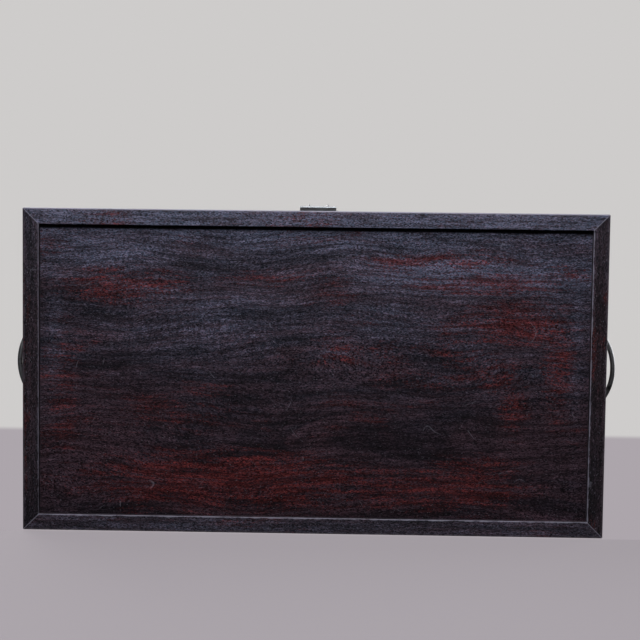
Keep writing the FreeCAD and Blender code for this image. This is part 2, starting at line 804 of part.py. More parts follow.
for name, side in (("left", LEFT), ("right", RIGHT)):
    hingeLeaf(f"hinge_{name}_body_leaf", side, -1, bodyLeafNails)
    hingeLeaf(f"hinge_{name}_lid_leaf", side, 1, lidLeafNails)
    body = newBody(f"hinge_{name}_pin")
    sketch = sketchOn(body, "YZ_Plane", size.hinge_place * side)
    circle(sketch, hingeAxisY, seamMiddle, size.hinge_pin)
    pad(body, sketch, size.leaf_width + size.barrel_gap * 2, symmetric=True)
nails("hinge_nails_body", BACK, leafFace, bodyLeafNails)
nails("hinge_nails_lid", BACK, leafFace, lidLeafNails)


# Bail handles


eyeSide = size.eye_thickness / 2 + size.bail_side_gap
armY = size.eye_half_span - eyeSide - size.bail_shoulder
knobY = size.eye_half_span + eyeSide + size.bail_ball


def bailCentre():
    # The bent wire's middle line on the right end, from the front eye to the back eye
    pivotOff = size.bail_pivot_off.value
    elbowOff = size.bail_elbow_radius.value + size.bail_rest_gap.value
    elbowY = armY.value - size.bail_elbow_inset.value
    elbowDrop = size.bail_elbow_drop.value
    bulge = size.bail_bulge.value
    drop = size.bail_drop.value
    half = [(pivotOff, armY.value, 0.0),
            ((pivotOff + elbowOff) / 2, (armY.value + elbowY) / 2,
             elbowDrop * ARM_MIDDLE),
            (elbowOff, elbowY, elbowDrop * ARM_END)]
    # The grip bows outwards as an arc in plan and eases down to its lowest point
    sag = bulge - elbowOff
    arcRadius = (elbowY * elbowY + sag * sag) / (2 * sag)
    for share in GRIP_STATIONS:
        y = elbowY * share
        off = bulge - (arcRadius - math.sqrt(arcRadius * arcRadius - y * y))
        fall = elbowDrop + (drop - elbowDrop) * math.sqrt(1 - share * share)
        half.append((off, y, fall))
    whole = half + [(bulge, 0.0, drop)] + [(p, -y, d) for p, y, d in reversed(half)]
    x0 = halfLength.value
    z0 = bailPivotZ.value
    return [FreeCAD.Vector(x0 + p, -y, z0 - d) for p, y, d in whole]


def bailShape():
    # A grip that is thickest in the middle, with a pivot stub and a knob at each end
    curve = Part.BSplineCurve()
    curve.interpolate(bailCentre())
    first, last = curve.FirstParameter, curve.LastParameter
    thin = size.bail_elbow_radius.value
    thick = size.bail_grip_radius.value
    rings = []
    for i in range(GRIP_RINGS):
        share = i / (GRIP_RINGS - 1)
        at = first + (last - first) * share
        radius = thin + (thick - thin) * math.sin(math.pi * share) ** GRIP_SWELL
        ring = Part.Circle(curve.value(at), curve.tangent(at)[0], radius)
        rings.append(Part.Wire(ring.toShape()))
    shape = Part.makeLoft(rings, True, False)
    x = halfLength.value + size.bail_pivot_off.value
    z = bailPivotZ.value
    for end in (FRONT, BACK):
        base = FreeCAD.Vector(x, end * armY.value, z)
        out = FreeCAD.Vector(0, end, 0)
        stub = Part.makeCylinder(size.bail_stub.value, knobY.value - armY.value, base, out)
        shoulder = Part.makeSphere(size.bail_shoulder.value, base)
        knob = Part.makeSphere(size.bail_ball.value, FreeCAD.Vector(x, end * knobY.value, z))
        shape = shape.fuse([stub, shoulder, knob])
    return shape


def bail(label, side):
    # The left handle is the right one mirrored across the box
    item = doc.addObject("Part::Feature", label)
    item.Label = label
    shape = bailShape()
    if side == LEFT:
        shape = shape.mirror(FreeCAD.Vector(), FreeCAD.Vector(1, 0, 0))
    item.Shape = shape
    item.Placement = FreeCAD.Placement()
    made.append(item)


def eyePost(label, side, end):
    # A split pin with an eye, driven through rosette and wall and spread inside
    body = newBody(label)
    y = size.eye_half_span * end
    z = bailPivotZ
    x = (halfLength + size.bail_pivot_off) * side
    hole = size.bail_stub + size.running_fit
    sketch = sketchOn(body, "XZ_Plane", -y)
    circle(sketch, x, z, hole + size.eye_wall)
    ring = pad(body, sketch, size.eye_thickness, symmetric=True)
    roundEdges(body, ring, size.eye_wall * EYE_SOFTNESS,
               lambda e: e.Curve.TypeId == "Part::GeomCircle")
    sketch = sketchOn(body, "YZ_Plane", (innerHalfLength - size.post_leg_thickness) * side)
    circle(sketch, y, z, size.post_radius)
    reach = size.post_leg_thickness + size.wall + size.bail_pivot_off - hole - size.eye_wall
    pad(body, sketch, reach + size.eye_wall * POST_IN_EYE, back=side == LEFT)
    sketch = sketchOn(body, "YZ_Plane", (innerHalfLength - size.post_leg_thickness) * side)
    legHalf = size.post_leg_half
    rectangle(sketch, y - legHalf, y + legHalf,
              z - size.post_leg_length, z + size.post_leg_length)
    pad(body, sketch, size.post_leg_thickness, back=side == LEFT)
    sketch = sketchOn(body, "XZ_Plane", -y)
    circle(sketch, x, z, hole)
    pocket(body, sketch, size.eye_thickness * 2, symmetric=True)


def rosette(label, side, end):
    # A round washer plate with a softened rim
    body = newBody(label)
    sketch = sketchOn(body, "YZ_Plane", halfLength * side)
    y = size.eye_half_span * end
    circle(sketch, y, bailPivotZ, size.rosette_radius)
    disc = pad(body, sketch, size.rosette_thickness, back=side == LEFT)
    face = (halfLength + size.rosette_thickness) * side
    roundEdges(body, disc, size.rosette_thickness * ROSETTE_DOME,
               lambda e: near(e.BoundBox.XMin, face.value) and near(e.BoundBox.XMax, face.value))
    sketch = sketchOn(body, "YZ_Plane", halfLength * side)
    circle(sketch, y, bailPivotZ, size.post_radius + size.hole_fit)
    pocket(body, sketch)


for name, side in (("left", LEFT), ("right", RIGHT)):
    bail(f"bail_{name}", side)
    for place, end in (("front", FRONT), ("back", BACK)):
        eyePost(f"eye_post_{name}_{place}", side, end)
        rosette(f"rosette_{name}_{place}", side, end)

# Check every object, then write one file for each piece

doc.recompute()
for item in doc.Objects:
    if "Invalid" in item.State or "Error" in item.State:
        raise RuntimeError(f"{item.Label} failed: {item.State}")
for item in made:
    if item.Shape.isNull() or not item.Shape.isValid():
        raise RuntimeError(f"{item.Label} has no valid shape")
for item in made:
    item.Shape.exportStep(f"parts/{item.Label}.step")
print(len(made), "pieces written")
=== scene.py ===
import math
import bpy
from mathutils import Matrix, Vector


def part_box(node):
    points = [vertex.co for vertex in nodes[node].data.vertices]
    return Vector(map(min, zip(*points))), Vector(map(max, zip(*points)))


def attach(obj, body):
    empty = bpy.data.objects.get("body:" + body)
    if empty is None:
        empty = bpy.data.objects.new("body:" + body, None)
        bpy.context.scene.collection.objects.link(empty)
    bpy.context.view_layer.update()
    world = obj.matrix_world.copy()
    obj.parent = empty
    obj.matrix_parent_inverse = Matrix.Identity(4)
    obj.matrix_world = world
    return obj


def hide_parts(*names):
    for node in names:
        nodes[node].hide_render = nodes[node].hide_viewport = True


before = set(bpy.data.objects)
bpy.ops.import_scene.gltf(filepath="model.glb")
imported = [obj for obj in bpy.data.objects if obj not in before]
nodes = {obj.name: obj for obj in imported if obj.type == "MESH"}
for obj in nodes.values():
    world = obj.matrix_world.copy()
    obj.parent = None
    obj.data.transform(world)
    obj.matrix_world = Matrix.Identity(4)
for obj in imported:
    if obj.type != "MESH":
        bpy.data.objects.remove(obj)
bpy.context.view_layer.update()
print("frame loaded,", len(nodes), "nodes")

# Measures of the box in m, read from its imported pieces
mm = 0.001
halfLength = -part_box("left_wall")[0].x
halfDepth = -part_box("front_wall")[0].y
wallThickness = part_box("front_wall")[1].y + halfDepth
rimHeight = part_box("front_wall")[1].z
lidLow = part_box("lid_front_wall")[0].z
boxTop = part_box("lid_front_wall")[1].z
plateFace = -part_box("lock_plate_lower")[0].y
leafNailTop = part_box("hinge_nails_body")[1].y
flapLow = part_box("hasp_flap")[0].z

# Small helpers for colours, nodes and objects


def paint(red, green, blue):  # a colour as the eye reads it, 0 to 255
    def linear(part):
        part /= 255
        return part / 12.92 if part <= 0.04045 else ((part + 0.055) / 1.055) ** 2.4
    return (linear(red), linear(green), linear(blue), 1.0)


def feed(tree, socket, value):
    if isinstance(value, bpy.types.NodeSocket):
        tree.links.new(value, socket)
    elif value is not None:
        socket.default_value = value


def addNode(tree, kind, **settings):
    made = tree.nodes.new(kind)
    for key, value in settings.items():
        setattr(made, key, value)
    return made


def calc(tree, operation, first, second=None, third=None, clamp=False):
    made = addNode(tree, "ShaderNodeMath", operation=operation, use_clamp=clamp)
    for socket, value in zip(made.inputs, (first, second, third)):
        feed(tree, socket, value)
    return made.outputs[0]


def times(tree, first, second, clamp=False):
    return calc(tree, "MULTIPLY", first, second, clamp=clamp)


def vectorCalc(tree, operation, first, second=None, scale=None):
    made = addNode(tree, "ShaderNodeVectorMath", operation=operation)
    feed(tree, made.inputs[0], first)
    feed(tree, made.inputs[1], second)
    feed(tree, made.inputs[3], scale)  # the scale's socket, which has no name to find until it is in use
    return made.outputs[1 if operation == "LENGTH" else 0]


def parts(tree, vector):  # x, y and z of a vector
    made = addNode(tree, "ShaderNodeSeparateXYZ")
    feed(tree, made.inputs[0], vector)
    return made.outputs[0], made.outputs[1], made.outputs[2]


def together(tree, x, y, z):
    made = addNode(tree, "ShaderNodeCombineXYZ")
    for socket, value in zip(made.inputs, (x, y, z)):
        feed(tree, socket, value)
    return made.outputs[0]


def ease(tree, value, low, high, lowOut=0.0, highOut=1.0):  # smooth step from low to high
    made = addNode(tree, "ShaderNodeMapRange", interpolation_type="SMOOTHSTEP")
    for label, amount in (("Value", value), ("From Min", low), ("From Max", high),
                          ("To Min", lowOut), ("To Max", highOut)):
        feed(tree, made.inputs[label], amount)
    return made.outputs["Result"]


def between(tree, mask, atNone, atFull):  # one amount where the mask is 0, another where it is 1
    return ease(tree, mask, 0.0, 1.0, atNone, atFull)


def vary(tree, value, chance, amount):  # half the amount up or down, as chance goes from 0 to 1
    return calc(tree, "MULTIPLY_ADD", calc(tree, "SUBTRACT", chance, 0.5), amount, value)


def mixColour(tree, share, first, second):
    made = addNode(tree, "ShaderNodeMix", data_type="RGBA")
    for socket, value in zip((0, 6, 7), (share, first, second)):  # the sockets of the colour mix
        feed(tree, made.inputs[socket], value)
    return made.outputs[2]


def mixShaders(tree, share, first, second):
    made = addNode(tree, "ShaderNodeMixShader")
    for socket, value in zip(made.inputs, (share, first, second)):
        feed(tree, socket, value)
    return made.outputs[0]


def noise(tree, vector, detail=2.0, roughness=0.5, scale=1.0):
    made = addNode(tree, "ShaderNodeTexNoise")
    for label, value in (("Vector", vector), ("Scale", scale), ("Detail", detail), ("Roughness", roughness)):
        feed(tree, made.inputs[label], value)
    return made.outputs[0]


def moved(tree, place, location, turn=0):  # a pattern's place, shifted and turned about z by degrees
    made = addNode(tree, "ShaderNodeMapping")
    feed(tree, made.inputs["Vector"], place)
    feed(tree, made.inputs["Location"], location)
    feed(tree, made.inputs["Rotation"], (0, 0, math.radians(turn)))
    return made.outputs[0]


def addRelief(tree, shader, height, depth, strength):
    bump = addNode(tree, "ShaderNodeBump")
    feed(tree, bump.inputs["Height"], height)
    feed(tree, bump.inputs["Distance"], depth)
    feed(tree, bump.inputs["Strength"], strength)
    feed(tree, shader.inputs["Normal"], bump.outputs[0])


def newMaterial(name):
    material = bpy.data.materials.new(name)
    material.use_nodes = True
    tree = material.node_tree
    place = addNode(tree, "ShaderNodeTexCoord").outputs["Object"]
    return material, tree, tree.nodes["Principled BSDF"], place


def newGroup(name, inputs, outputs, kind="ShaderNodeTree"):
    tree = bpy.data.node_groups.new(name, kind)
    for label, (socketType, value) in inputs.items():
        socket = tree.interface.new_socket(label, in_out="INPUT", socket_type=socketType)
        if value is not None:
            socket.default_value = value
    for label, socketType in outputs.items():
        tree.interface.new_socket(label, in_out="OUTPUT", socket_type=socketType)
    return tree, tree.nodes.new("NodeGroupInput").outputs, tree.nodes.new("NodeGroupOutput").inputs


def useGroup(tree, group, values):
    made = addNode(tree, "ShaderNodeGroup", node_tree=group)
    for label, value in values.items():
        feed(tree, made.inputs[label], value)
    return made.outputs


def addObject(name, data):
    item = bpy.data.objects.new(name, data)
    bpy.context.scene.collection.objects.link(item)
    return item


numberSocket = "NodeSocketFloat"
vectorSocket = "NodeSocketVector"

# Shared effects: wood figure, short fibres, edge wear and hair scratches

figureValues = {
    "waveStretch": (6, 13, 13),
    "waveDetail": 2,
    # For each layer: stretch along the grain, across it and down, shift along it, noise, and the noise
    # where the layer starts and where it is full
    "layers": {
        "Bands": {"stretch": (9, 1, 9), "shift": 0.0, "noise": {"detail": 4, "roughness": 0.6},
                  "range": (0.33, 0.67)},
        "Streaks": {"stretch": (150, 900, 500), "shift": 0.0, "noise": {"detail": 4, "roughness": 0.65},
                    "range": (0.3, 0.7)},
        "Veins": {"stretch": (22, 330, 200), "shift": 0.0, "noise": {"detail": 5, "roughness": 0.7},
                  "range": (0.33, 0.67)},
        "Flecks": {"stretch": (34, 420, 200), "shift": 5.0, "noise": {"detail": 5, "roughness": 0.7},
                   "range": (0.33, 0.67)},
    },
}


def makeFigureGroup():
    # Growth rings of one board: straight grain along x, with one arch where the cut meets the heart
    tree, given, result = newGroup("woodFigure", {
        "Vector": (vectorSocket, None),
        "Tilt": (numberSocket, 0.0),        # how much the rings follow z
        "Arch X": (numberSocket, 0.0),      # tip of the arch, m
        "Arch Y": (numberSocket, -0.5),
        "Arch Width": (numberSocket, 0.0),  # 0 for straight grain
        "Waviness": (numberSocket, 0.005),
        "Band Width": (numberSocket, 0.011),
    }, {label: numberSocket for label in ("Level", *figureValues["layers"])})
    x, y, z = parts(tree, given["Vector"])
    wave = vectorCalc(tree, "MULTIPLY", given["Vector"], figureValues["waveStretch"])
    level = calc(tree, "MULTIPLY_ADD", z, given["Tilt"], y)
    level = vary(tree, level, noise(tree, wave, figureValues["waveDetail"]), given["Waviness"])
    off = calc(tree, "SUBTRACT", level, given["Arch Y"])
    run = times(tree, calc(tree, "SUBTRACT", x, given["Arch X"]), given["Arch Width"])
    square = calc(tree, "SUBTRACT", times(tree, off, off), run)
    rings = times(tree, calc(tree, "SQRT", calc(tree, "ABSOLUTE", square)), calc(tree, "SIGN", square))
    rings = calc(tree, "DIVIDE", rings, given["Band Width"])
    for label, layer in figureValues["layers"].items():
        along, over, down = layer["stretch"]
        spread = together(tree, calc(tree, "MULTIPLY_ADD", x, along, layer["shift"]),
                          times(tree, rings if label == "Bands" else level, over), times(tree, z, down))
        feed(tree, result[label], ease(tree, noise(tree, spread, **layer["noise"]), *layer["range"]))
    feed(tree, result["Level"], level)
    return tree


fibreValues = {
    "length": 1.0 * mm,
    "width": 0.36 * mm,
    "bendStretch": (220, 330, 330),
    "bendDetail": 2,
    "bend": 2.5,                # in widths of a fibre
    "rimToCore": (0.62, 0.25),  # distance from its middle where a fibre ends and where it is full
}


def makeFibreGroup():
    # Short fibres that lie along the grain, each with its own tone: some are open pores, some hold pale dust
    tree, given, result = newGroup("shortFibres", {
        "Vector": (vectorSocket, None),
        "Across": (numberSocket, 0.0),
        "Length": (numberSocket, fibreValues["length"]),
        "Width": (numberSocket, fibreValues["width"]),
        "Open Share": (numberSocket, 0.25),
        "Dusty Share": (numberSocket, 0.2),
    }, {label: numberSocket for label in ("Tone", "Chance", "Open", "Dusty")})
    x, _, z = parts(tree, given["Vector"])
    bend = vectorCalc(tree, "MULTIPLY", given["Vector"], fibreValues["bendStretch"])
    bend = noise(tree, bend, fibreValues["bendDetail"])
    bend = times(tree, bend, times(tree, given["Width"], fibreValues["bend"]))
    level = calc(tree, "ADD", bend, given["Across"])
    place = together(tree, calc(tree, "DIVIDE", x, given["Length"]),
                     calc(tree, "DIVIDE", level, given["Width"]), calc(tree, "DIVIDE", z, given["Width"]))
    cells = addNode(tree, "ShaderNodeTexVoronoi", feature="F1")
    feed(tree, cells.inputs["Vector"], place)
    feed(tree, cells.inputs["Scale"], 1.0)
    chance = addNode(tree, "ShaderNodeSeparateColor")
    feed(tree, chance.inputs[0], cells.outputs["Color"])
    tone, kind, other = chance.outputs
    core = ease(tree, cells.outputs["Distance"], *fibreValues["rimToCore"])
    isOpen = calc(tree, "LESS_THAN", kind, given["Open Share"])
    isDusty = calc(tree, "GREATER_THAN", kind, calc(tree, "SUBTRACT", 1.0, given["Dusty Share"]))
    feed(tree, result["Tone"], tone)
    feed(tree, result["Chance"], other)
    feed(tree, result["Open"], times(tree, core, isOpen))
    feed(tree, result["Dusty"], times(tree, core, isDusty))
    return tree


edgeValues = {
    "reach": 2.0 * mm,                       # how far wear goes from an arris
    "raggedNoise": {"detail": 4, "roughness": 0.7, "scale": 150},
    "raggedRange": (0.25, 0.75, 0.15, 1.6),  # noise from and to, share of the reach from and to
    "footRange": (1.1 * mm, 0.3 * mm),       # distance where the painted highlight at the foot ends and where it is full
    "ledgeReach": 0.5,                       # share of the reach, round the recess
    "mitreRange": (0.6 * mm, 0.1 * mm),      # distance where the mitre line ends and where it is full
    "mitreDepth": 0.5,                       # the larger, the shallower the line
}


def makeEdgeGroup():
    # Nearness to the arrises of the whole box: worn corners, foot line, recess of the underside, mitres
    tree, given, result = newGroup("edgeWear", {
        "Vector": (vectorSocket, None),
        "Half Length": (numberSocket, halfLength),
        "Half Depth": (numberSocket, halfDepth),
        "Height": (numberSocket, boxTop),
        "Wall": (numberSocket, wallThickness),
        "Reach": (numberSocket, edgeValues["reach"]),
    }, {label: numberSocket for label in ("Wear", "Foot", "Ledge", "Mitre")})
    x, y, z = parts(tree, given["Vector"])
    fromEnd = calc(tree, "SUBTRACT", given["Half Length"], calc(tree, "ABSOLUTE", x))
    fromSide = calc(tree, "SUBTRACT", given["Half Depth"], calc(tree, "ABSOLUTE", y))
    fromFlat = calc(tree, "MINIMUM", z, calc(tree, "SUBTRACT", given["Height"], z))
    nearer = calc(tree, "MINIMUM", fromEnd, fromSide)
    farther = calc(tree, "MAXIMUM", fromEnd, fromSide)
    arris = calc(tree, "MAXIMUM", nearer, calc(tree, "MINIMUM", farther, fromFlat))
    ragged = noise(tree, given["Vector"], **edgeValues["raggedNoise"])
    reach = times(tree, given["Reach"], ease(tree, ragged, *edgeValues["raggedRange"]))
    feed(tree, result["Wear"], ease(tree, arris, reach, 0.0))
    feed(tree, result["Foot"], ease(tree, calc(tree, "MAXIMUM", z, nearer), *edgeValues["footRange"]))
    # The inner arrises round the recess of the underside
    offX = calc(tree, "SUBTRACT", given["Wall"], fromEnd)
    offY = calc(tree, "SUBTRACT", given["Wall"], fromSide)
    ledgeX = calc(tree, "MAXIMUM", calc(tree, "ABSOLUTE", offX), calc(tree, "MAXIMUM", z, offY))
    ledgeY = calc(tree, "MAXIMUM", calc(tree, "ABSOLUTE", offY), calc(tree, "MAXIMUM", z, offX))
    ledge = calc(tree, "MINIMUM", ledgeX, ledgeY)
    feed(tree, result["Ledge"], ease(tree, ledge, times(tree, reach, edgeValues["ledgeReach"]), 0.0))
    # The mitres at the corners of the frame
    seam = calc(tree, "ABSOLUTE", calc(tree, "SUBTRACT", fromEnd, fromSide))
    seam = calc(tree, "MAXIMUM", seam, times(tree, fromFlat, edgeValues["mitreDepth"]))
    onFrame = calc(tree, "LESS_THAN", fromEnd, given["Wall"])
    feed(tree, result["Mitre"], times(tree, ease(tree, seam, *edgeValues["mitreRange"]), onFrame))
    return tree


scratchValues = {
    "lineNoise": {"detail": 1, "roughness": 0.4},
    "gapShift": (3, 5, 7),
    "gapNoise": {"detail": 3, "roughness": 0.6, "scale": 90},
    "gapBlur": 0.08,                         # how softly a mark ends
}


def makeScratchGroup():
    # Hair-thin marks in all directions, broken up along their length
    tree, given, result = newGroup("hairScratches", {
        "Vector": (vectorSocket, None),
        "Scale": (numberSocket, 30.0),
        "Thickness": (numberSocket, 0.004),
        "Amount": (numberSocket, 0.5),
    }, {"Marks": numberSocket})
    line = vectorCalc(tree, "SCALE", given["Vector"], scale=given["Scale"])
    line = noise(tree, line, **scratchValues["lineNoise"])
    line = calc(tree, "ABSOLUTE", calc(tree, "SUBTRACT", line, 0.5))
    line = ease(tree, line, given["Thickness"], 0.0)
    gaps = vectorCalc(tree, "ADD", given["Vector"], scratchValues["gapShift"])
    gaps = noise(tree, gaps, **scratchValues["gapNoise"])
    start = calc(tree, "SUBTRACT", 1.0, given["Amount"])
    full = calc(tree, "SUBTRACT", 1.0 + scratchValues["gapBlur"], given["Amount"])
    feed(tree, result["Marks"], times(tree, line, ease(tree, gaps, start, full)))
    return tree


figureGroup = makeFigureGroup()
fibreGroup = makeFibreGroup()
edgeGroup = makeEdgeGroup()
scratchGroup = makeScratchGroup()
print("shared effects made")

# Dark open-grained hardwood

woodValues = {
    "dark": paint(23, 17, 22),
    "brown": paint(55, 38, 44),
    "bandShare": (0.15, 0.95),      # share of brown in the dark and in the light rings
    # Red places
    "red": paint(84, 32, 31),
    "redStretch": (14, 40, 40),
    "redNoise": {"detail": 4, "roughness": 0.6},
    "redRange": (0.45, 0.7),        # noise where a red cloud starts and where it is full
    "redSpotRim": 1.5,              # where a spot ends, in its half lengths
    "redFlecks": 0.8,               # how far flecks and fibres break the red up
    "redFibres": 0.7,
    "redCut": (0.35, 1.15),         # broken-up redness where the colour starts and where it is full
    "redFade": 0.5,                 # below this redness the colour fades out
    # Bluish bloom of wax and dust, mauve on the paler fibres; the pieces add painted sheen to it
    "haze": paint(97, 110, 134),
    "mauve": paint(112, 99, 116),
    "mauveShare": 0.8,
    "bloomShift": (1, 2, 3),
    "bloomStretch": (13, 30, 30),
    "bloomNoise": {"detail": 5, "roughness": 0.65},
    "bloomRange": (0.3, 0.7, 0.3, 1.0),  # noise from and to, bloom from and to
    "bloomAndSheenSpotRim": 1.6,
    "bloomAndSheenSpots": 0.8,
    "bloomWaxed": 0.35,             # share of it left on waxed faces
    "bloomFibres": (1.8, 0.2),      # from the haziest fibre to the cleanest, and so for flecks
    "bloomFlecks": (1.5, 0.5),
    "bloomOnRed": 0.45,
    "bloomEvens": 0.6,              # how far thick bloom evens the tone of the fibres
    "bloomTone": 1.1,               # the tone that it evens them to
    "spotCore": 0.2,                # where a spot is full, in its half lengths
    "undersideBlur": 0.6 * mm,
    # Tone of fibres, streaks and veins, from the darkest to the palest
    "fibreTone": (0.2, 2.1),
    "streakTone": (0.75, 1.25),
    "veinTone": (0.55, 1.4),
    # What lies over the colour
    "pore": paint(6, 4, 6),
    "poreShare": 0.85,
    "rimShadowShare": 0.9,
    "rimShadowCore": 0.6,                # share of its reach within which the painted shadow is full
    "worn": paint(108, 96, 104),
    "wearShare": 0.5,
    "dust": paint(160, 154, 168),   # pale filling of pores, mitres and scratches, also the colour of the painted highlights on the ledges and the foot
    "mitreShare": 0.5,
    "scratchAmount": 0.42,
    "scratchShare": 0.3,
    # Roughness, and what pores, pale fibres and wear add to it
    "waxedRoughness": 0.5,
    "dryRoughness": 0.62,
    "poreRoughness": 0.3,
    "fibreRoughness": -0.2,
    "wornRoughness": -0.22,
    # Relief
    "bumpDepth": 0.22 * mm,
    "bumpStrength": 0.6,
    "streakHeight": 0.35,           # beside pores that are 1 deep
}
# What a piece has if its own dictionary says nothing else
plainWood = {
    "turn": 0,                      # of the grain about z, degrees
    "seed": (0, 0, 0),              # moves the pattern, m
    "tilt": 0.0,                    # how much the rings follow z
    "arch": (0.0, -0.5, 0.0),       # x and y of its tip, and its width
    "waviness": 0.005,
    "band": 0.011,                  # width of a ring, m
    "shade": 1.0,                   # tone of the whole piece
    "redness": 0.5,                 # strength of its red clouds
    "reds": [],                     # its red spots
    "haze": 0.3,                    # strength of its bloom
    "hazeAndSheenSpots": [],                    # its spots of bloom and painted sheen
    "paintedFalloffAcross": None,             # painted falloff of light: bloom fades along y, where it is full, where least, share left there
    "undersideHazeAndSheen": 0.0,           # more bloom on the underside, partly painted sheen
    "undersideTop": 0.5 * mm,       # the underside is what lies below this height
    "dusty": 0.06,                  # share of fibres that hold dust
    "dust": 0.3,                    # how pale that dust is
    "rimShadow": None,                # painted shadow in the corner below the front rail: its y and its reach
    "ledge": 0.0,                   # painted highlight along the arris round the recess
    "foot": 0.0,                    # painted highlight along the arris at the foot
    "sheen": 0.22,                  # specular level
}
# Places on the underside board: middle x and y, half length and half width in mm, strength
boardReds = [
    (-116, -53, 44, 13, 0.85),
    (-20, -58, 60, 7, 0.45),
    (-155, 18, 12, 58, 0.55),
    (-85, 26, 52, 17, 0.45),
    (-50, 68, 110, 22, 0.95),
    (70, 72, 80, 16, 0.75),
    (105, 56, 36, 9, 0.7),
    (76, -69, 48, 8, 0.95),
    (124, -32, 40, 15, 1.0),
    (105, -56, 62, 9, 0.8),
    (151, -8, 12, 46, 0.75),
    (70, 4, 44, 7, 0.5),
    (124, 23, 12, 14, 0.75),
]
# Spots of bloom and painted sheen, mostly towards the front; the strips at y -84 and -86 are a painted
# highlight on the board's edge below the front rail
boardHazeAndSheen = [
    (-70, -24, 44, 28, 0.9),
    (-128, -78, 44, 14, 1.0),
    (10, -84, 200, 9, 1.2),
    (0, -86, 260, 3, 2.2),
    (100, -74, 70, 14, 0.8),
    (30, -30, 70, 16, 0.5),
    (100, -62, 70, 11, 1.7),
    (-161, 0, 5, 90, 0.7),
    (162, 0, 4, 90, 0.7),
]


def spots(tree, place, ellipses, rim, start=0.0):
    mask = start
    for x, y, longHalf, wideHalf, strength in ellipses:
        away = vectorCalc(tree, "SUBTRACT", place, (x * mm, y * mm, 0))
        away = vectorCalc(tree, "MULTIPLY", away, (1 / (longHalf * mm), 1 / (wideHalf * mm), 0))
        away = vectorCalc(tree, "LENGTH", away)
        mask = calc(tree, "MAXIMUM", mask, ease(tree, away, rim, woodValues["spotCore"], 0.0, strength))
    return mask


